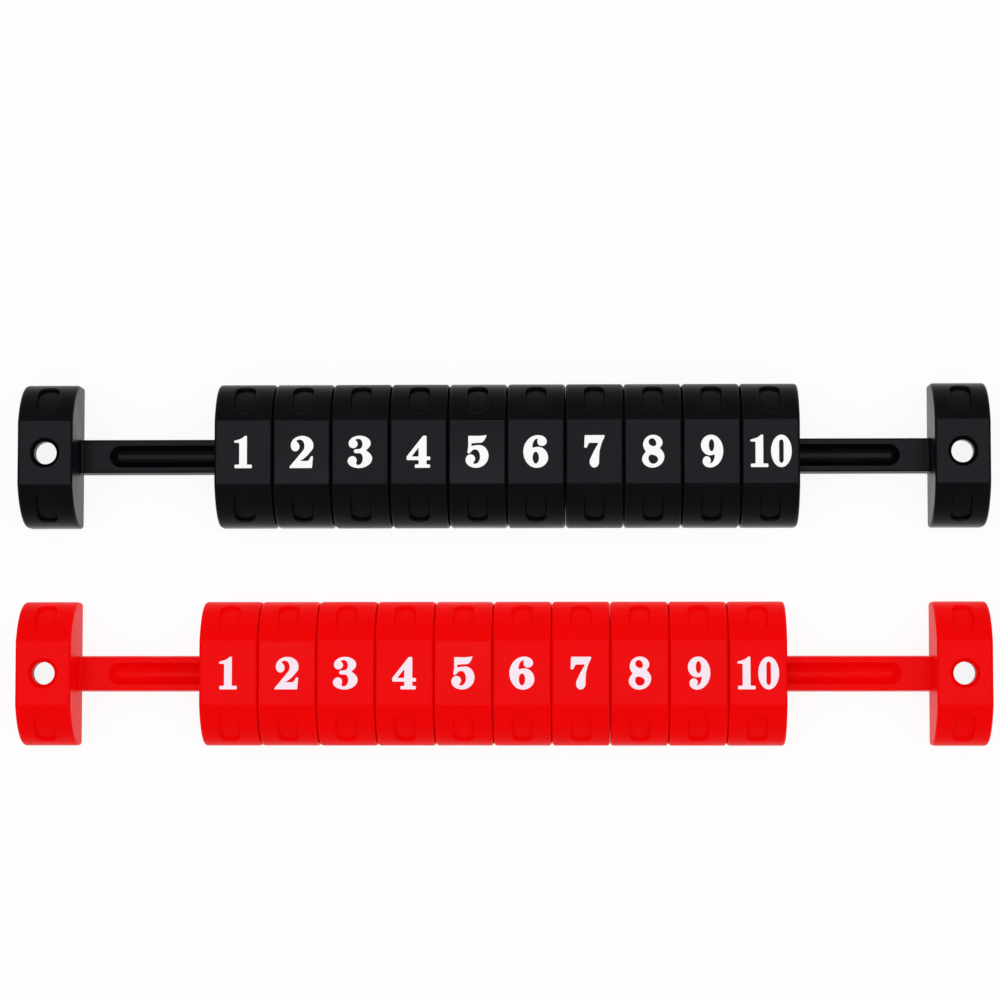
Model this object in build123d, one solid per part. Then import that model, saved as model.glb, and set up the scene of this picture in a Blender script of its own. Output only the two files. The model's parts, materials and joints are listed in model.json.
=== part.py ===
from build123d import *
from math import asin, atan2, cos, degrees, hypot, radians, sin, sqrt
import os

# A pair of table football score counters, one for each team. Each counter is a rail with ten beads
# that slide along it. The rail is one moulding: a bar with an end block at each end. The beads are
# shells, open at the back, and snap onto the bar from the front.
# Millimetres. The counters lie on their backs, with their length along X and their fronts up.

# The pair, and how far each stack of beads sits from the middle of its bar
counter_spacing = 55.6
black_stack_shift = 1.1
red_stack_shift = -2.4

# The outline that end blocks and beads share, seen along X: a flat front between two round cheeks, and
# below each cheek a straight skirt down to the back
body_width = 36.6
body_depth = 18.5
front_flat_width = 16.0
skirt_height = 4.5
crease_radius = 2.5

# Walls of the end blocks and beads
cheek_wall = 2.2
end_wall = 1.5

# End blocks
overall_length = 245.0
block_length = 14.0
block_edge_radius = 0.9

# Screw seat in each end block: a countersink and a short bore, with the block open behind it
seat_mouth_diameter = 7.5
screw_hole_diameter = 5.7
seat_depth = 1.1
seat_floor = 3.0
seat_wall = 1.6
seat_lip_radius = 0.2

# Bar, a little wider at its back so that it leaves the mould
bar_back_height = 1.5
bar_front_height = 5.5
bar_back_width = 9.2
bar_front_width = 8.4
bar_edge_radius = 0.4
bar_root_radius = 0.5

# Trough along the front of the bar
trough_end_margin = 7.5
trough_mouth_width = 5.6
trough_floor_width = 2.7
trough_depth = 2.2
trough_end_ramp = 2.0
trough_floor_radius = 2.0

# Beads
bead_count = 10
bead_length = 14.65
bead_gap = 0.1
bead_edge_radius = 0.85
bead_back_clearance = 0.3
bead_side_clearance = 0.2
bead_lift_clearance = 0.15
guide_rib = 1.2
lip_overlap = 0.9
lip_lead_in = 0.6
lip_edge = 0.4

# Finger dimples, one on each cheek of every block and bead
dimple_angle = 46.0
dimple_length = 11.3
dimple_width = 5.7
dimple_depth = 1.1
dimple_floor_radius = 22.0
dimple_draft = 22.0
dimple_rim_radius = 0.3

# Worked out from the sizes above
half_width = body_width / 2
half_flat = front_flat_width / 2
cheek_rise = body_depth - skirt_height
cheek_offset = (half_width**2 - half_flat**2 - cheek_rise**2) / (2 * (half_width - half_flat))
cheek_radius = half_width - cheek_offset
block_inner_face = overall_length / 2 - block_length
block_middle = overall_length / 2 - block_length / 2
bead_pitch = bead_length + bead_gap
lip_top_height = bar_back_height - bead_lift_clearance
passage_top_height = bar_front_height + bead_lift_clearance

# How far a cutting shape stands past the surface that it cuts
overcut = 1.0


def band(reach, low, high):
    """Rectangle across X, reaching as far to both sides of the bar, from one height to another."""
    return Pos(0, (low + high) / 2) * Rectangle(2 * reach, high - low)


def along_bar(face, length):
    """Carries a face drawn across X along the bar, half of the length to each side."""
    return extrude(Plane.YZ * face, length / 2, both=True)


def outline(inset, back_height):
    """The shared outline, moved inwards by inset and cut off at back_height.

    Each cheek is an arc that starts upright at the top of its skirt and ends at the flat's crease.
    """
    radius = cheek_radius - inset
    side = half_width - inset
    sweep = degrees(asin((cheek_rise - inset) / radius))
    right_cheek = CenterArc((cheek_offset, skirt_height), radius, 0, sweep)
    left_cheek = CenterArc((-cheek_offset, skirt_height), radius, 180 - sweep, sweep)
    flat = Line(right_cheek @ 1, left_cheek @ 0)
    back = Polyline(left_cheek @ 1, (-side, back_height), (side, back_height), right_cheek @ 0)
    return make_face([right_cheek, flat, left_cheek, *back.edges()])


def body(length, back_height, edge_radius):
    """Solid block of the shared outline, with its creases and its end edges rounded."""
    face = outline(0, back_height)
    near = crease_radius / 100
    creases = face.vertices().filter_by_position(Axis.Y, body_depth - near, body_depth + near)
    face = fillet(creases, crease_radius)
    solid = along_bar(face, length)
    ends = [edge for edge in solid.edges() if abs(edge.center().X) > length / 2 - edge_radius / 10]
    rounded = [edge for edge in ends if edge.center().Z > back_height + edge_radius / 10]
    return fillet(rounded, edge_radius)


def hollow(length):
    """The space inside a block or bead of this length, open at the back."""
    return along_bar(outline(cheek_wall, -overcut), length - 2 * end_wall)


def dimple(side):
    """Tool for the finger dimple on the +Y cheek (side 1) or the -Y cheek (side -1).

    It is an oblong that narrows inwards, cut off by a cylinder that is flatter than the cheek.
    """
    lean = radians(dimple_angle)
    outward = Vector(0, side * sin(lean), cos(lean))
    around = Vector(0, side * cos(lean), -sin(lean))
    crown = Vector(0, side * cheek_offset, skirt_height) + outward * cheek_radius
    lift = dimple_depth / 10
    sag = dimple_floor_radius - sqrt(dimple_floor_radius**2 - (dimple_length / 2) ** 2)
    mouth = Plane(origin=crown + outward * lift, x_dir=around, z_dir=outward * -1)
    oblong = mouth * SlotOverall(dimple_length, dimple_width)
    pocket = extrude(oblong, lift + dimple_depth + sag, taper=dimple_draft)
    axis = crown - outward * (dimple_depth + dimple_floor_radius)
    floor = Pos(axis) * Rot(0, 90, 0) * Cylinder(dimple_floor_radius, 2 * dimple_width)
    return pocket - floor


def dimpled(solid):
    """The solid with a dimple in each cheek, and the dimples' rims rounded."""
    solid = solid - dimple(1) - dimple(-1)
    reach = degrees(asin(dimple_length / 2 / cheek_radius))
    rims = []
    for edge in solid.edges():
        middle = edge @ 0.5
        across = abs(middle.Y) - cheek_offset
        rise = middle.Z - skirt_height
        on_cheek = abs(hypot(across, rise) - cheek_radius) < dimple_rim_radius / 10
        in_reach = abs(degrees(atan2(across, rise)) - dimple_angle) < reach
        if on_cheek and in_reach and abs(middle.X) < dimple_width:
            rims.append(edge)
    return fillet(rims, dimple_rim_radius)


def end_block():
    """Hollow end block with its screw seat, centred on X = 0."""
    at_front = Align.CENTER, Align.CENTER, Align.MAX
    front = Pos(0, 0, body_depth)
    cup_radius = seat_mouth_diameter / 2 + seat_wall
    cup = front * Cylinder(cup_radius, seat_depth + seat_floor, align=at_front)
    funnel = front * Cone(screw_hole_diameter / 2, seat_mouth_diameter / 2, seat_depth, align=at_front)
    bore = front * Cylinder(screw_hole_diameter / 2, body_depth, align=at_front)
    shell = body(block_length, 0, block_edge_radius) - hollow(block_length)
    block = shell + cup - funnel - bore
    rim = block.edges().filter_by(GeomType.CIRCLE).filter_by_position(Axis.Z, body_depth, body_depth)
    return dimpled(fillet(rim, seat_lip_radius))


def bar_half_width(height):
    """Half of the bar's width at a height, on the straight slope of its flanks."""
    share = (height - bar_back_height) / (bar_front_height - bar_back_height)
    return (bar_back_width + share * (bar_front_width - bar_back_width)) / 2


def bar():
    """Bar with its rounded trough, reaching through the inner walls of both end blocks."""
    left_half = [
        (-bar_half_width(bar_back_height), bar_back_height),
        (-bar_half_width(bar_front_height), bar_front_height),
    ]
    right_half = [(-across, height) for across, height in reversed(left_half)]
    face = make_face(Polyline(left_half + right_half, close=True))
    face = fillet(face.vertices(), bar_edge_radius)
    trough_length = 2 * (block_inner_face - trough_end_margin)
    mouth = Pos(0, 0, bar_front_height) * SlotOverall(trough_length, trough_mouth_width)
    floor_length = trough_length - 2 * trough_end_ramp
    floor_height = bar_front_height - trough_depth
    floor = Pos(0, 0, floor_height) * SlotOverall(floor_length, trough_floor_width)
    trough = loft([floor, mouth], ruled=True)
    near = trough_depth / 100
    foot = trough.edges().filter_by_position(Axis.Z, floor_height - near, floor_height + near)
    return along_bar(face, 2 * (block_inner_face + end_wall)) - fillet(foot, trough_floor_radius)


def rail():
    """Bar and both end blocks in one piece, with a small round where they meet."""
    block = end_block()
    whole = bar() + Pos(-block_middle, 0, 0) * block + Pos(block_middle, 0, 0) * block
    near = bar_root_radius / 10
    at_face = [edge for edge in whole.edges() if abs(abs(edge.center().X) - block_inner_face) < near]
    low = bar_back_height - near
    high = bar_front_height + near
    root = [edge for edge in at_face if low < edge.center().Z < high]
    root = [edge for edge in root if abs(edge.center().Y) < bar_back_width / 2 + near]
    return fillet(root, bar_root_radius)


def bar_passage():
    """The way that the bar takes through a bead, with the snap lips' mouth at the back."""
    mouth_half = bar_back_width / 2 - lip_overlap
    right_half = [
        (mouth_half + lip_lead_in, -overcut),
        (mouth_half + lip_lead_in, bead_back_clearance),
        (mouth_half, lip_top_height - lip_edge),
        (mouth_half, lip_top_height),
        (bar_half_width(lip_top_height) + bead_side_clearance, lip_top_height),
        (bar_half_width(passage_top_height) + bead_side_clearance, passage_top_height),
    ]
    left_half = [(-across, height) for across, height in reversed(right_half)]
    face = make_face(Polyline(right_half + left_half, close=True))
    return along_bar(face, bead_length + 2 * overcut)


def bead():
    """Hollow bead with its two guide ribs and snap lips, centred on X = 0."""
    inside_length = bead_length - 2 * end_wall
    rib_inside = bar_back_width / 2 + bead_side_clearance
    inner_top = body_depth - cheek_wall
    ribs = along_bar(band(rib_inside + guide_rib, -overcut, body_depth), inside_length)
    channel = along_bar(band(rib_inside, lip_top_height, inner_top), inside_length)
    whole = body(bead_length, bead_back_clearance, bead_edge_radius)
    shell = whole - (hollow(bead_length) - ribs)
    return dimpled(shell - channel - bar_passage())


def keep(name, solid):
    """Writes one piece of the counter to its own file."""
    solid.label = name
    export_step(solid, f"parts/{name}.step")


def main():
    os.makedirs("parts", exist_ok=True)
    one_rail = rail()
    one_bead = bead()
    counters = [
        ("black", counter_spacing / 2, black_stack_shift),
        ("red", -counter_spacing / 2, red_stack_shift),
    ]
    for colour, across, stack_shift in counters:
        keep(f"{colour}_rail", Pos(0, across, 0) * one_rail)
        for number in range(1, bead_count + 1):
            along = stack_shift + (number - (bead_count + 1) / 2) * bead_pitch
            keep(f"{colour}_bead_{number}", Pos(along, across, 0) * one_bead)


main()
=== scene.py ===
# %% [markdown]
# # A pair of table football score counters
# Two counters lie on their backs, a black one and a red one. Each is a rail with ten numbered beads that
# slide along it. The rails and beads come from the CAD model and stay where they are. This script gives
# them their moulded plastic, prints the numerals on them, and lights and frames the pair.

# %% Load the counters
import json
import math

import bpy
import numpy as np
from mathutils import Matrix, Vector

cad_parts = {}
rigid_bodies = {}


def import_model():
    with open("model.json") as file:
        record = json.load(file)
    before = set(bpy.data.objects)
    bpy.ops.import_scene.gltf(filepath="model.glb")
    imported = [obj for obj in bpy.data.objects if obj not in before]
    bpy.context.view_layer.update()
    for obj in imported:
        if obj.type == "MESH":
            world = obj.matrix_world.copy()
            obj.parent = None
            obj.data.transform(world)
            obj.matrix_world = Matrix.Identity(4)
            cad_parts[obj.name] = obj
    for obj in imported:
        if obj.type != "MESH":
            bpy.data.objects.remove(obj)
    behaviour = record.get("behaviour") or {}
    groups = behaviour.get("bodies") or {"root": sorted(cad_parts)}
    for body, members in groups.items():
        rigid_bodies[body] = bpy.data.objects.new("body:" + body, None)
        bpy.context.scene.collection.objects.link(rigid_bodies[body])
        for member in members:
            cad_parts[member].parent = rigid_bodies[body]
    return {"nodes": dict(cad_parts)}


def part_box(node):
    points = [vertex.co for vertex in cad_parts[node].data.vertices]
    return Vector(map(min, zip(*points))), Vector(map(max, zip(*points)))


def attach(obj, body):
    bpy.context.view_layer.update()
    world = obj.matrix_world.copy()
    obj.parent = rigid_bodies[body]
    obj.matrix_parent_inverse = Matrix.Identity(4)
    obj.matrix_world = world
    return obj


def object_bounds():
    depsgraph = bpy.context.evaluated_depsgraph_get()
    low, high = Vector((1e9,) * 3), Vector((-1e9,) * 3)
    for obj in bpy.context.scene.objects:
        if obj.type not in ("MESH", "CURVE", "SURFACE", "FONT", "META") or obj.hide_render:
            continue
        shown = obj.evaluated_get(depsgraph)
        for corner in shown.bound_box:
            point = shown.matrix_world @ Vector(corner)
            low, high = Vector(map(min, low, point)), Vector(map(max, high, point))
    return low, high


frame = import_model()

MM = 0.001
COLOURS = ("black", "red")
BEAD_COUNT = 10

cad_low, cad_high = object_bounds()
FRONT = cad_high.z
LENGTH = cad_high.x - cad_low.x
print("loaded", len(frame["nodes"]), "pieces,", round(LENGTH / MM, 2), "mm long")

# %% [markdown]
# ## The camera
# The photograph looks straight down on the fronts. The inner side faces of the end blocks show as slivers,
# wider on the left than on the right, so the camera stands a little to the right of the middle. It also
# stands nearer to the red counter. The middle of the picture lies elsewhere. A shifted lens could bring it
# there, but the camera is turned to it instead, so that other views stay centred.

# %% Place the camera
PHOTO_SIDE_PX = 1000
FRONT_PX_PER_MM = 3.993
SENSOR_WIDTH_MM = 36.0
CAMERA_ABOVE_FRONT = 764 * MM
CAMERA_PLACE = Vector((21.5 * MM, -34.0 * MM, FRONT + CAMERA_ABOVE_FRONT))
PICTURE_MIDDLE = Vector((-0.5 * MM, 15.6 * MM, FRONT))


def aim(place, target):
    """Matrix that stands at place and looks at target, with the counters' +Y upwards in the picture."""
    forward = (target - place).normalized()
    right = forward.cross(Vector((0, 1, 0))).normalized()
    up = right.cross(forward)
    turn = Matrix((right, up, -forward)).transposed()
    return Matrix.Translation(place) @ turn.to_4x4()


camera_data = bpy.data.cameras.new("camera")
camera_data.sensor_width = SENSOR_WIDTH_MM
focal_px = FRONT_PX_PER_MM * CAMERA_ABOVE_FRONT / MM
camera_data.lens = SENSOR_WIDTH_MM * focal_px / PHOTO_SIDE_PX
camera = bpy.data.objects.new("camera", camera_data)
camera.matrix_world = aim(CAMERA_PLACE, PICTURE_MIDDLE)
bpy.context.scene.collection.objects.link(camera)
bpy.context.scene.camera = camera
print("lens", round(camera_data.lens, 1), "mm")

# %% [markdown]
# ## Light
# The red stays bright right to its edges, so the light comes from all sides, as in a light tent, with a
# little more from above. The flat fronts have a brighter sheen than the cheeks beside them. One lamp could
# give both, but one that is bright enough for the sheen would bleach the red. So one soft box gives light
# and isn't mirrored. Two more, side by side, give no light of their own and are only mirrored: the fronts
# show them, and the cheeks show the white tent.

# %% Hang the soft boxes
SOFT_BOX_LENGTH = 2.6
LIT_WIDTH = 0.46
LIT_HEIGHT = 1.30
LIT_RADIANCE = 1.15
LIT_COLOUR = (1.0, 1.0, 1.0)
MIRRORED_WIDTH = 0.20
MIRRORED_MIDDLE = 0.12
MIRRORED_STEP = 0.17
MIRRORED_HEIGHT = 1.25
MIRRORED_RADIANCE = 9.0
MIRRORED_COLOUR = (0.87, 0.91, 1.0)


def soft_box(name, width, across, height, radiance, colour):
    """Area lamp that faces down, as bright as radiance says: its power is radiance times pi times area."""
    lamp = bpy.data.lights.new(name, "AREA")
    lamp.shape = "RECTANGLE"
    lamp.size = SOFT_BOX_LENGTH
    lamp.size_y = width
    lamp.energy = radiance * math.pi * lamp.size * lamp.size_y
    lamp.color = colour
    box = bpy.data.objects.new(name, lamp)
    box.location = (0, across, height)
    box.visible_camera = False
    bpy.context.scene.collection.objects.link(box)
    return box


lighting_box = soft_box("lighting_box", LIT_WIDTH, 0, LIT_HEIGHT, LIT_RADIANCE, LIT_COLOUR)
lighting_box.visible_glossy = False
for side in (-1, 1):
    name = f"mirrored_box_{side}"
    across = MIRRORED_MIDDLE + side * MIRRORED_STEP
    mirrored_box = soft_box(
        name, MIRRORED_WIDTH, across, MIRRORED_HEIGHT, MIRRORED_RADIANCE, MIRRORED_COLOUR
    )
    mirrored_box.visible_diffuse = False
print({lamp.name: round(lamp.energy, 1) for lamp in bpy.data.lights}, "W")

# %% [markdown]
# The tent is the world itself, white all round. Its light has to be a little less than white, while it has
# to look plain white behind the counters. A Light Path node does both: it tells the rays that show the
# tent, from the camera, off a mirroring surface or through a clear one, from those that only gather light.

# %% Pitch the tent
TENT_LEVEL = 0.82
SEEN_LEVEL = 1.0
PLAIN_WHITE = (1, 1, 1, 1)


def link(tree, *pairs):
    """Joins output sockets to input sockets, each pair as (from, to)."""
    for start, end in pairs:
        tree.links.new(start, end)


def seen_or_mirrored(tree):
    """Socket that is 1 for the rays that show a background: from the camera, mirrored or passed through."""
    rays = tree.nodes.new("ShaderNodeLightPath")
    mirrored = tree.nodes.new("ShaderNodeMath")
    mirrored.operation = "MAXIMUM"
    any_of_them = tree.nodes.new("ShaderNodeMath")
    any_of_them.operation = "MAXIMUM"
    link(
        tree,
        (rays.outputs["Is Camera Ray"], mirrored.inputs[0]),
        (rays.outputs["Is Glossy Ray"], mirrored.inputs[1]),
        (mirrored.outputs[0], any_of_them.inputs[0]),
        (rays.outputs["Is Transmission Ray"], any_of_them.inputs[1]),
    )
    return any_of_them.outputs[0]


def tent():
    """White world: at the tent's level for the light it gives, and plain white where it is seen."""
    world = bpy.data.worlds.new("tent")
    world.use_nodes = True
    tree = world.node_tree
    tree.nodes.clear()
    strength = tree.nodes.new("ShaderNodeMix")
    strength.inputs["A"].default_value = TENT_LEVEL
    strength.inputs["B"].default_value = SEEN_LEVEL
    white = tree.nodes.new("ShaderNodeBackground")
    white.inputs["Color"].default_value = PLAIN_WHITE
    out = tree.nodes.new("ShaderNodeOutputWorld")
    link(
        tree,
        (seen_or_mirrored(tree), strength.inputs["Factor"]),
        (strength.outputs["Result"], white.inputs["Strength"]),
        (white.outputs["Background"], out.inputs["Surface"]),
    )
    return world


bpy.context.scene.world = tent()
bpy.context.scene.view_settings.view_transform = "Standard"
print("tent at", TENT_LEVEL, "of plain white")

# %% [markdown]
# ## Floor
# The counters lie on a white sheet that has no visible edge, and throw a faint shadow on it. Matt paint
# alone would turn grey under this light. So where the sheet is seen it is nearly all glow, and the small
# rest is the paint that takes the shadow. It lies just under the counters, so that no two faces meet.

# %% Lay the floor
FLOOR_SIDE = 6.0
FLOOR_DROP = 0.05 * MM
FLOOR_GLOW = 0.90
FLOOR_WHITE = (0.97, 0.97, 0.97, 1)


def white_glow(tree):
    """Emission node that glows plain white."""
    glow = tree.nodes.new("ShaderNodeEmission")
    glow.inputs["Color"].default_value = PLAIN_WHITE
    return glow


def pale_floor():
    """Square floor just under the counters: nearly all glow where it is seen, matt white to other light."""
    mesh = bpy.data.meshes.new("floor")
    half = FLOOR_SIDE / 2
    height = cad_low.z - FLOOR_DROP
    corners = [(-half, -half, height), (half, -half, height), (half, half, height), (-half, half, height)]
    mesh.from_pydata(corners, [], [(0, 1, 2, 3)])
    floor = bpy.data.objects.new("floor", mesh)
    bpy.context.scene.collection.objects.link(floor)
    material = bpy.data.materials.new("floor_white")
    material.use_nodes = True
    tree = material.node_tree
    tree.nodes.clear()
    share = tree.nodes.new("ShaderNodeMath")
    share.operation = "MULTIPLY"
    share.inputs[1].default_value = FLOOR_GLOW
    paint = tree.nodes.new("ShaderNodeBsdfDiffuse")
    paint.inputs["Color"].default_value = FLOOR_WHITE
    both = tree.nodes.new("ShaderNodeMixShader")
    out = tree.nodes.new("ShaderNodeOutputMaterial")
    link(
        tree,
        (seen_or_mirrored(tree), share.inputs[0]),
        (share.outputs[0], both.inputs[0]),
        (paint.outputs[0], both.inputs[1]),
        (white_glow(tree).outputs[0], both.inputs[2]),
        (both.outputs[0], out.inputs["Surface"]),
    )
    mesh.materials.append(material)
    return floor


pale_floor()
print("floor at", round((cad_low.z - FLOOR_DROP) / MM, 2), "mm")

# %% [markdown]
# ## Card
# Each counter was photographed by itself, so the black one shows no red in its sheen and doesn't darken the
# red one's upper side. A white card that stands between them keeps them apart here. It glows as white as
# the tent looks, throws no shadow, and the camera doesn't see it.

# %% Stand a card between the counters


def card():
    """Upright white card along the middle, as long and as high as the counters."""
    mesh = bpy.data.meshes.new("card")
    half = LENGTH / 2
    foot = cad_low.z - FLOOR_DROP
    corners = [(-half, 0, foot), (half, 0, foot), (half, 0, FRONT), (-half, 0, FRONT)]
    mesh.from_pydata(corners, [], [(0, 1, 2, 3)])
    material = bpy.data.materials.new("card_white")
    material.use_nodes = True
    tree = material.node_tree
    tree.nodes.clear()
    out = tree.nodes.new("ShaderNodeOutputMaterial")
    link(tree, (white_glow(tree).outputs[0], out.inputs["Surface"]))
    mesh.materials.append(material)
    standing = bpy.data.objects.new("card", mesh)
    standing.visible_camera = False
    standing.visible_shadow = False
    bpy.context.scene.collection.objects.link(standing)
    return standing


card()
print("card of", round(LENGTH / MM), "by", round(FRONT / MM, 1), "mm")

# %% [markdown]
# ## Moulded skin
# Rails and beads are satin injection mouldings. Their skin has four things that a flat colour lacks: a fine
# grain from the eroded mould, a slow waviness and a front that is sunk a little in its middle, both from
# the plastic's shrinking as it cooled, and a sheen that differs from bead to bead, because each one sits a
# little crooked on the bar. They could be modelled, but they are far too shallow to change an outline, so
# the shader tips the normal instead. These four short helpers write its nodes.

# %% Gather helpers for the skin's nodes
NOISE_MIDDLE = 0.5


def feed(group, slot, value):
    """Gives an input a plain number, or joins another node's output to it."""
    if isinstance(value, (int, float)):
        slot.default_value = value
    else:
        group.links.new(value, slot)


def sum_up(group, operation, *terms):
    """Output of a Math node; a term is a socket or a plain number."""
    node = group.nodes.new("ShaderNodeMath")
    node.operation = operation
    for slot, term in zip(node.inputs, terms):
        feed(group, slot, term)
    return node.outputs[0]


def noise(group, place, scale, detail):
    """Smooth noise around zero, from -0.5 to 0.5."""
    node = group.nodes.new("ShaderNodeTexNoise")
    node.inputs["Detail"].default_value = detail
    link(group, (place, node.inputs["Vector"]), (scale, node.inputs["Scale"]))
    return sum_up(group, "SUBTRACT", node.outputs["Fac"], NOISE_MIDDLE)


def lean(group, height, distance, normal=None):
    """Normal tipped by a height, which is multiplied by the distance, a socket or a plain number."""
    node = group.nodes.new("ShaderNodeBump")
    group.links.new(height, node.inputs["Height"])
    feed(group, node.inputs["Distance"], distance)
    if normal is not None:
        group.links.new(normal, node.inputs["Normal"])
    return node.outputs["Normal"]


print("four helpers: feed, sum_up, noise and lean")

# %% [markdown]
# The beads of a counter share one material, and still each has a sheen of its own. A material for each bead
# would do that too, but a white noise needs no list: it is read at the count of whole pitches along X, which
# stays the same all over a bead and is one more on the next. The sink of the front is a shallow trough,
# lowest in the middle, and it ends where the flat meets the cheeks.

# %% Draw each bead's lot and sink the front


def bead_lot(group, given, along):
    """Number from -0.5 to 0.5 that is drawn anew at each whole pitch from the first bead's start."""
    from_start = sum_up(group, "SUBTRACT", along, given["Bead start mm"])
    pitches = sum_up(group, "DIVIDE", from_start, given["Bead pitch mm"])
    lot = group.nodes.new("ShaderNodeTexWhiteNoise")
    lot.noise_dimensions = "1D"
    group.links.new(sum_up(group, "FLOOR", pitches), lot.inputs["W"])
    return sum_up(group, "SUBTRACT", lot.outputs["Value"], NOISE_MIDDLE)


def sunk_front(group, given, across, normal):
    """Normal tipped by a trough: its height grows from nothing in the middle to the sink depth at the crease.

    It grows with the square of the share of the way to the crease, and stays the same past it.
    """
    aside = sum_up(group, "SUBTRACT", across, given["Front middle mm"])
    share = sum_up(group, "DIVIDE", aside, given["Front half width mm"])
    rise = sum_up(group, "MINIMUM", sum_up(group, "MULTIPLY", share, share), 1.0)
    return lean(group, rise, sum_up(group, "MULTIPLY", given["Sink depth"], MM), normal)


print("two more: bead_lot and sunk_front")

# %% [markdown]
# One node group makes all four effects, so that black, red and ink use the same skin in their own amounts.
# It reads the piece's own coordinates, so that the pattern stays on a bead when it slides.

# %% Build the moulded skin group
SKIN_INPUTS = {
    "Grain per mm": 4.0,
    "Grain depth": 0.004,
    "Wave per mm": 0.06,
    "Wave depth": 0.05,
    "Roughness": 0.4,
    "Roughness spread": 0.1,
    "Tone spread": 0.1,
    "Bead pitch mm": 14.75,
    "Bead start mm": 0.0,
    "Bead spread": 0.0,
    "Bead lean": 0.0,
    "Front middle mm": 0.0,
    "Front half width mm": 8.0,
    "Sink depth": 0.0,
}
PATCHES_PER_WAVE = 1.7
PATCH_DETAIL = 0.0
WAVE_DETAIL = 1.0
GRAIN_DETAIL = 2.0


def moulded_skin_group():
    """Node group that turns a place on a moulding into a normal, a roughness and a colour tone.

    The normal leans by a fine noise (grain) and a slow noise (waviness), over the sunk front. The roughness
    is a middle value plus a slow noise times a spread. The tone is 1 plus a slow noise times a spread. Each
    bead's lot is added to the roughness times the bead spread, and it tips the normal sideways, as a height
    that grows along Y by the lot times the bead lean.
    """
    group = bpy.data.node_groups.new("moulded_skin", "ShaderNodeTree")
    face = group.interface
    face.new_socket("Place", in_out="INPUT", socket_type="NodeSocketVector")
    for name, value in SKIN_INPUTS.items():
        face.new_socket(name, in_out="INPUT", socket_type="NodeSocketFloat").default_value = value
    face.new_socket("Normal", in_out="OUTPUT", socket_type="NodeSocketVector")
    face.new_socket("Roughness", in_out="OUTPUT", socket_type="NodeSocketFloat")
    face.new_socket("Tone", in_out="OUTPUT", socket_type="NodeSocketFloat")
    given = group.nodes.new("NodeGroupInput").outputs
    made = group.nodes.new("NodeGroupOutput").inputs

    split = group.nodes.new("ShaderNodeSeparateXYZ")
    group.links.new(given["Place"], split.inputs[0])
    per_metre = 1 / MM
    along = sum_up(group, "MULTIPLY", split.outputs["X"], per_metre)
    across = sum_up(group, "MULTIPLY", split.outputs["Y"], per_metre)
    lot = bead_lot(group, given, along)

    wave_scale = sum_up(group, "MULTIPLY", given["Wave per mm"], per_metre)
    patch_scale = sum_up(group, "MULTIPLY", wave_scale, PATCHES_PER_WAVE)
    patch = noise(group, given["Place"], patch_scale, PATCH_DETAIL)
    own = sum_up(group, "MULTIPLY_ADD", lot, given["Bead spread"], given["Roughness"])
    roughness = sum_up(group, "MULTIPLY_ADD", patch, given["Roughness spread"], own)
    tone = sum_up(group, "MULTIPLY_ADD", patch, given["Tone spread"], 1.0)

    slope = sum_up(group, "MULTIPLY", lot, given["Bead lean"])
    crooked = lean(group, sum_up(group, "MULTIPLY", split.outputs["Y"], slope), 1.0)
    sunk = sunk_front(group, given, across, crooked)
    waves = noise(group, given["Place"], wave_scale, WAVE_DETAIL)
    wavy = lean(group, waves, sum_up(group, "MULTIPLY", given["Wave depth"], MM), sunk)
    grain_scale = sum_up(group, "MULTIPLY", given["Grain per mm"], per_metre)
    grain = noise(group, given["Place"], grain_scale, GRAIN_DETAIL)
    grainy = lean(group, grain, sum_up(group, "MULTIPLY", given["Grain depth"], MM), wavy)
    link(group, (grainy, made["Normal"]), (roughness, made["Roughness"]), (tone, made["Tone"]))
    return group


moulded_skin = moulded_skin_group()
print("skin group with", len(moulded_skin.nodes), "nodes")

# %% [markdown]
# ## Plastics
# Both plastics are dyed right through, so the colour is even and only its tone varies a little. A Principled
# BSDF does for that. Its specular level is set far below the usual one, because the white tent is mirrored
# from all sides and would turn the black grey and the red pink. Pink shows sooner than grey, so the red's
# level is the lower one. The rails get the same plastics, without the sheen that differs from bead to bead.

# %% Mix the two plastics
SHARED_SKIN = {"Roughness spread": 0.10, "Grain depth": 0.003, "Sink depth": 0.14}
BEAD_SHEEN = {"Bead spread": 0.16, "Bead lean": 0.05}
PLASTICS = {
    "black": {
        "colour": (0.0016, 0.0018, 0.0026),
        "specular": 0.040,
        "skin": {"Roughness": 0.28, "Tone spread": 0.3, **SHARED_SKIN},
    },
    "red": {
        "colour": (0.87, 0.0012, 0.0018),
        "specular": 0.012,
        "skin": {"Roughness": 0.30, "Tone spread": 0.06, **SHARED_SKIN},
    },
}


def skinned(name, colour, specular, skin):
    """Material under the moulded skin: the colour times its tone, with its roughness and normal."""
    material = bpy.data.materials.new(name)
    material.use_nodes = True
    tree = material.node_tree
    shader = tree.nodes["Principled BSDF"]
    shader.inputs["Specular IOR Level"].default_value = specular
    place = tree.nodes.new("ShaderNodeTexCoord")
    surface = tree.nodes.new("ShaderNodeGroup")
    surface.node_tree = moulded_skin
    for socket, value in skin.items():
        surface.inputs[socket].default_value = value
    tinted = tree.nodes.new("ShaderNodeVectorMath")
    tinted.operation = "SCALE"
    tinted.inputs[0].default_value = colour
    link(
        tree,
        (place.outputs["Object"], surface.inputs["Place"]),
        (surface.outputs["Tone"], tinted.inputs["Scale"]),
        (tinted.outputs[0], shader.inputs["Base Color"]),
        (surface.outputs["Roughness"], shader.inputs["Roughness"]),
        (surface.outputs["Normal"], shader.inputs["Normal"]),
    )
    return material


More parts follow.
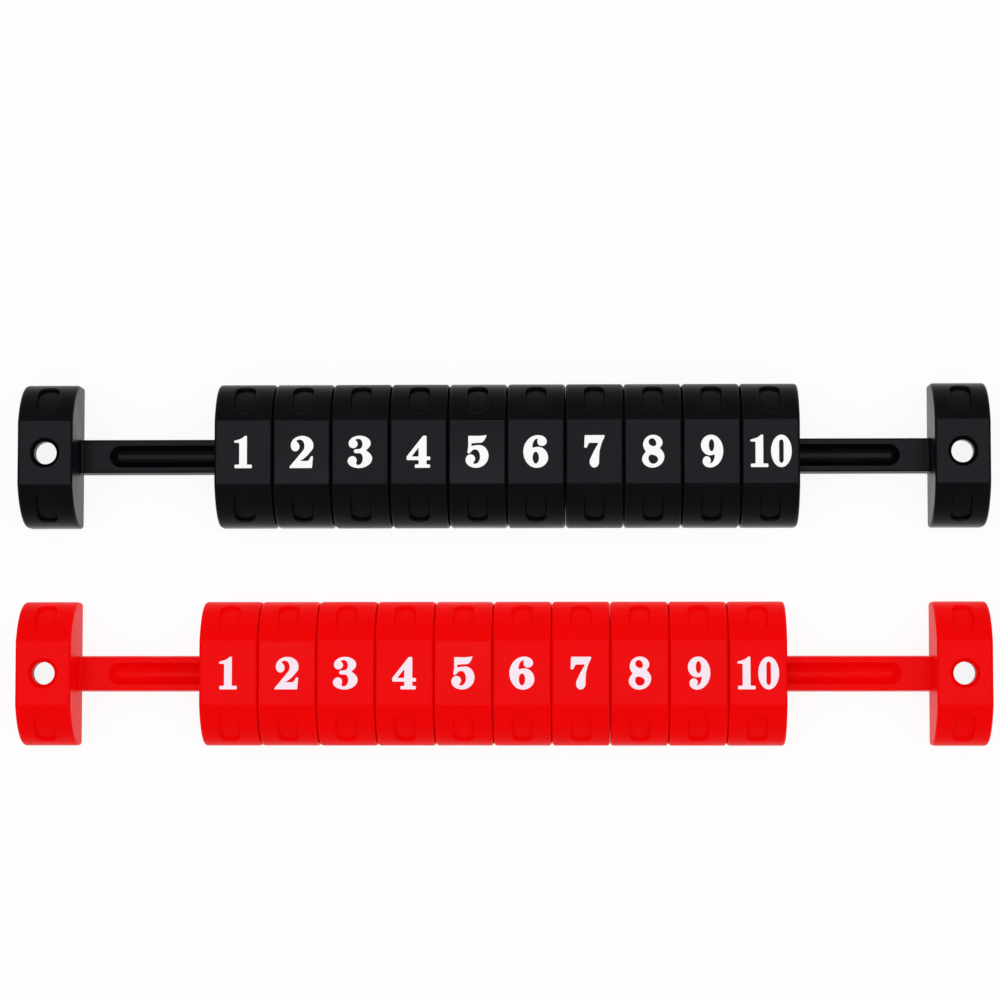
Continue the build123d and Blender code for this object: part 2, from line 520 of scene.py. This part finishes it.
def bead_rhythm(colour):
    """Skin inputs that say where a counter's beads start, how far apart they stand and where they face."""
    first, second = (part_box(f"{colour}_bead_{number}") for number in (1, 2))
    gap = second[0].x - first[1].x
    return {
        "Bead pitch mm": (second[0].x - first[0].x) / MM,
        "Bead start mm": (first[0].x - gap / 2) / MM,
        "Front middle mm": (first[0].y + first[1].y) / 2 / MM,
    }


for colour in COLOURS:
    plastic = PLASTICS[colour]
    rail_skin = {**plastic["skin"], **bead_rhythm(colour)}
    bead_skin = {**rail_skin, **BEAD_SHEEN}
    rail_plastic = skinned(f"{colour}_rail_plastic", plastic["colour"], plastic["specular"], rail_skin)
    bead_plastic = skinned(f"{colour}_bead_plastic", plastic["colour"], plastic["specular"], bead_skin)
    for name, node in frame["nodes"].items():
        if name.startswith(colour):
            node.data.materials.clear()
            node.data.materials.append(bead_plastic if "bead" in name else rail_plastic)
    print(colour, {socket: round(value, 2) for socket, value in bead_rhythm(colour).items()})

# %% [markdown]
# ## The numerals
# White numerals are printed on the beads, in a fat upright face with thin joins and ball ends. No font file
# is read, so each numeral is drawn here as closed outlines on a field 100 units high, its holes as outlines
# of their own. A node is a place, and for a smooth node also the heading in degrees that the pen has
# there. A node without a heading is a corner.

# %% Draw the numerals
FIELD_UNITS = 100
NUMERALS = {
    "0": [
        [(0, 50, 90), (32, 100.5, 0), (64, 50, -90), (32, -0.5, 180)],
        [(25, 24, 90), (25, 75, 90), (32, 86, 0), (39, 75, -90), (39, 24, -90), (32, 12.5, 180)],
    ],
    "1": [
        [(16.5, 11), (16.5, 79), (1, 79.5), (0, 85.5), (18, 90.5, 20), (34, 100.5, 36), (40.5, 100.5),
         (40.5, 11), (56, 11), (56, 0), (2, 0), (2, 11)],
    ],
    "2": [
        [(4, 70, 90), (40, 100.5, 0), (74.5, 71, -90), (62, 46, -128), (32, 22), (53, 22, 0), (63, 29, 60),
         (66.5, 37), (73.5, 37), (70.5, 0), (0, 0), (0, 4), (35.5, 46.5, 51), (46.7, 71, 90),
         (31.5, 89, 180), (20.5, 84), (31.5, 67, -90), (18, 52, 180)],
    ],
    "3": [
        [(3.5, 76, 90), (38, 100.5, 0), (72.5, 76.5, -90), (57, 55), (77, 30, -90), (36, -0.5, 180),
         (0.5, 21, 90), (16, 37, 0), (29, 24, -90), (26, 13), (33.5, 9, 0), (48, 29.5, 90),
         (38, 46, 180), (25, 46, 180), (19.5, 52, 90), (26, 58.5, 0), (35, 58.5, 0), (47, 74, 90),
         (33.5, 91, 180), (24, 87.5), (32, 75, -90), (18, 61.5, 180)],
    ],
    "4": [
        [(51, 100), (62, 100), (62, 35), (73.5, 35), (73.5, 24), (62, 24), (62, 10.5), (73, 10.5), (73, 0),
         (25.5, 0), (25.5, 10.5), (37.5, 10.5), (37.5, 24), (0, 24), (0, 35)],
        [(37.3, 63), (37.3, 35.3), (15.5, 35.3)],
    ],
    "5": [
        [(9, 99.5), (38, 99, 0), (66, 102), (58, 84.5, -128), (42, 77.5, 180), (18.5, 75.5), (18.5, 67),
         (43, 70.5, 0), (72, 37, -90), (34, -0.5, 180), (0.5, 24, 90), (16, 41.5, 0), (30.5, 28, -90),
         (22.5, 13.5), (31, 12, 0), (45.5, 34.5, 90), (31, 57, 180), (15.5, 47, -135), (10, 43),
         (6, 47), (9, 65)],
    ],
    "6": [
        [(0, 50, 90), (46, 101, 0), (73, 81.5, -90), (57, 67, 180), (43.5, 80, 90), (45.5, 91),
         (32, 82, -115), (28.5, 61), (46, 64.5, 0), (77, 31, -90), (41, -1, 180)],
        [(29, 31, 90), (38.5, 49.5, 0), (48.5, 31, -90), (38.5, 12, 180)],
    ],
    "7": [
        [(1.5, 100.5), (64, 100.5), (62, 92), (51, 65, -104), (46.5, 33, -92), (46, 17, -90), (31, -0.5, 180),
         (17, 15.5, 90), (23, 36, 66), (45, 76.5), (15, 76.5), (8, 61.5), (0, 61.5)],
    ],
    "8": [
        [(3, 71, 90), (35, 101, 0), (63.5, 76, -90), (54, 60), (69, 34, -90), (32, -1, 180), (0, 25.5, 90),
         (12.5, 48.5)],
        [(20, 80, 90), (31.5, 90.5, 0), (44, 72, -90), (36, 65.5, 180)],
        [(19.5, 29, 90), (28, 39.5, 0), (49.5, 25, -90), (34.5, 11, 180)],
    ],
    "9": [
        [(0, 69, 90), (32, 101, 0), (69, 51, -90), (28, -1, 180), (5, 18.5, 90), (17.5, 34, 0),
         (30.5, 21, -90), (26, 11), (38, 19, 65), (43, 40), (28, 37, 180)],
        [(24.5, 69, 90), (33, 87.5, 0), (41, 69, -90), (33, 49, 180)],
    ],
}
print("drew", len(NUMERALS), "numerals with", sum(len(lines) for lines in NUMERALS.values()), "outlines")

# %% [markdown]
# Between two nodes runs a cubic curve. Its handles lie along the headings, each 0.55 of the way that the
# curve covers in that direction, which makes a near perfect quarter ellipse where the headings are square
# to each other. A corner has no handle, so two corners are joined by a straight line.

# %% Run the pen along an outline
HANDLE = 0.5523
POINTS_PER_CURVE = 16


def pen_line(nodes):
    """Points along a closed outline.

    A curve runs from node P0 to node P3 with handles P1 = P0 + h a and P2 = P3 - h b, where a and b are the
    nodes' headings, each times how far the curve goes that way, and h is the handle share. A corner has
    no heading, so its handle has no length. The curve is the cubic through the four.
    """
    places = np.array([node[:2] for node in nodes], float)
    turns = np.radians([node[2] if len(node) > 2 else 0.0 for node in nodes])
    smooth = np.array([len(node) > 2 for node in nodes], float)
    headings = np.stack([np.cos(turns), np.sin(turns)], axis=1) * smooth[:, None]
    ends = np.roll(places, -1, axis=0)
    end_headings = np.roll(headings, -1, axis=0)
    chords = ends - places
    start_reach = np.maximum((chords * headings).sum(axis=1, keepdims=True), 0) * headings
    end_reach = np.maximum((chords * end_headings).sum(axis=1, keepdims=True), 0) * end_headings
    handles = [places, places + HANDLE * start_reach, ends - HANDLE * end_reach, ends]
    s = np.linspace(0, 1, POINTS_PER_CURVE, endpoint=False)[None, :, None]
    weights = [(1 - s) ** 3, 3 * (1 - s) ** 2 * s, 3 * (1 - s) * s**2, s**3]
    return sum(w * handle[:, None, :] for w, handle in zip(weights, handles)).reshape(-1, 2)


print("the 8 has", [len(pen_line(nodes)) for nodes in NUMERALS["8"]], "points in its outlines")

# %% [markdown]
# Wet ink spreads a little and rounds each corner. Averaging every point with its neighbours a few times does
# the same, if the points stand at even steps. It works on whole arrays, and a curve stays as it is.

# %% Let the ink spread
NUMERAL_HEIGHT = 8.1 * MM
UNIT = NUMERAL_HEIGHT / FIELD_UNITS
DIGIT_GAP_UNITS = 8.5
PEN_STEP_UNITS = 1.5
FEWEST_STEPS = 12
INK_SPREAD_PASSES = 3
STRAIGHT_TURN = 1e-6


def inked(points):
    """The same outline at even steps, with its corners rounded as wet ink rounds them.

    Each pass moves every point to a quarter of its two neighbours plus half of itself. Points in the middle
    of a straight run are left out, because filling them in gives faces with no area. They are those where
    the cross product of the steps before and after is nothing.
    """
    closed = np.vstack([points, points[:1]])
    along = np.concatenate([[0], np.cumsum(np.hypot(*np.diff(closed, axis=0).T))])
    count = max(int(along[-1] / PEN_STEP_UNITS), FEWEST_STEPS)
    even = np.linspace(0, along[-1], count, endpoint=False)
    out = np.stack([np.interp(even, along, closed[:, axis]) for axis in (0, 1)], axis=1)
    for _ in range(INK_SPREAD_PASSES):
        out = (np.roll(out, 1, axis=0) + 2 * out + np.roll(out, -1, axis=0)) / 4
    before = out - np.roll(out, 1, axis=0)
    after = np.roll(out, -1, axis=0) - out
    turn = before[:, 0] * after[:, 1] - before[:, 1] * after[:, 0]
    return out[np.abs(turn) > STRAIGHT_TURN]


def number_outlines(number):
    """Closed outlines of a number in units, centred on zero, with its digits side by side."""
    outlines = []
    start = 0.0
    for digit in str(number):
        lines = [inked(pen_line(nodes)) for nodes in NUMERALS[digit]]
        left = min(line[:, 0].min() for line in lines)
        width = max(line[:, 0].max() for line in lines) - left
        outlines += [line + (start - left, 0) for line in lines]
        start += width + DIGIT_GAP_UNITS
    middle = (start - DIGIT_GAP_UNITS) / 2
    return [line - (middle, FIELD_UNITS / 2) for line in outlines]


for number in range(1, BEAD_COUNT + 1):
    half_width = max(line[:, 0].max() for line in number_outlines(number))
    print("number", number, "is", round(2 * half_width * UNIT / MM, 2), "mm wide")

# %% [markdown]
# The ink is a real layer, thick enough to catch a little light on its edge. A flat filled curve is the
# simplest way to turn outlines with holes into a solid: the fill follows the holes by itself. It is made
# a mesh at once, and its place goes into the mesh, so that the object itself stays at the origin.

# %% Cut a number out of ink
INK_THICKNESS = 0.07 * MM
INK_BITE = 0.01 * MM
INK_EDGE = 0.02 * MM
INK_EDGE_STEPS = 1


def printed_number(name, number, middle, front):
    """Mesh object of a number in ink, centred on middle (x, y), standing on the height front."""
    curve = bpy.data.curves.new(name, "CURVE")
    curve.dimensions = "2D"
    curve.fill_mode = "BOTH"
    curve.extrude = (INK_THICKNESS + INK_BITE) / 2 - INK_EDGE
    curve.bevel_depth = INK_EDGE
    curve.bevel_resolution = INK_EDGE_STEPS
    curve.offset = -INK_EDGE
    for line in number_outlines(number):
        spline = curve.splines.new("POLY")
        spline.points.add(len(line) - 1)
        flat = np.column_stack([line * UNIT, np.zeros(len(line)), np.ones(len(line))])
        spline.points.foreach_set("co", flat.ravel())
        spline.use_cyclic_u = True
    drawn = bpy.data.objects.new(name + "_drawn", curve)
    bpy.context.scene.collection.objects.link(drawn)
    bpy.context.view_layer.update()
    mesh = bpy.data.meshes.new_from_object(drawn.evaluated_get(bpy.context.evaluated_depsgraph_get()))
    bpy.data.objects.remove(drawn)
    mesh.name = name
    mesh.transform(Matrix.Translation((*middle, front + (INK_THICKNESS - INK_BITE) / 2)))
    printed = bpy.data.objects.new(name, mesh)
    bpy.context.scene.collection.objects.link(printed)
    return printed


print("ink stands", round(INK_THICKNESS / MM, 2), "mm proud of the bead")

# %% [markdown]
# The ink is more matt than the plastic and a little thinner in places, so it takes the same skin with a finer
# grain and more roughness. On red beads it isn't pure white, because some of the red comes through it. Each
# number rides with its bead when that slides.

# %% Print the numbers on the beads
INK_SPECULAR = 0.06
INK_SKIN = {"Grain per mm": 6.0, "Grain depth": 0.003, "Roughness": 0.5, "Tone spread": 0.05}
INK_COLOURS = {"black": (0.95, 0.95, 0.95), "red": (0.95, 0.80, 0.88)}

for colour in COLOURS:
    ink = skinned(f"white_ink_on_{colour}", INK_COLOURS[colour], INK_SPECULAR, INK_SKIN)
    for number in range(1, BEAD_COUNT + 1):
        bead = f"{colour}_bead_{number}"
        low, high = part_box(bead)
        middle = ((low.x + high.x) / 2, (low.y + high.y) / 2)
        printed = printed_number(f"{colour}_number_{number}", number, middle, high.z)
        printed.data.materials.append(ink)
        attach(printed, bead)
numbers = [piece for piece in bpy.data.objects if "_number_" in piece.name]
print("printed", len(numbers), "numbers with", sum(len(piece.data.polygons) for piece in numbers), "faces")
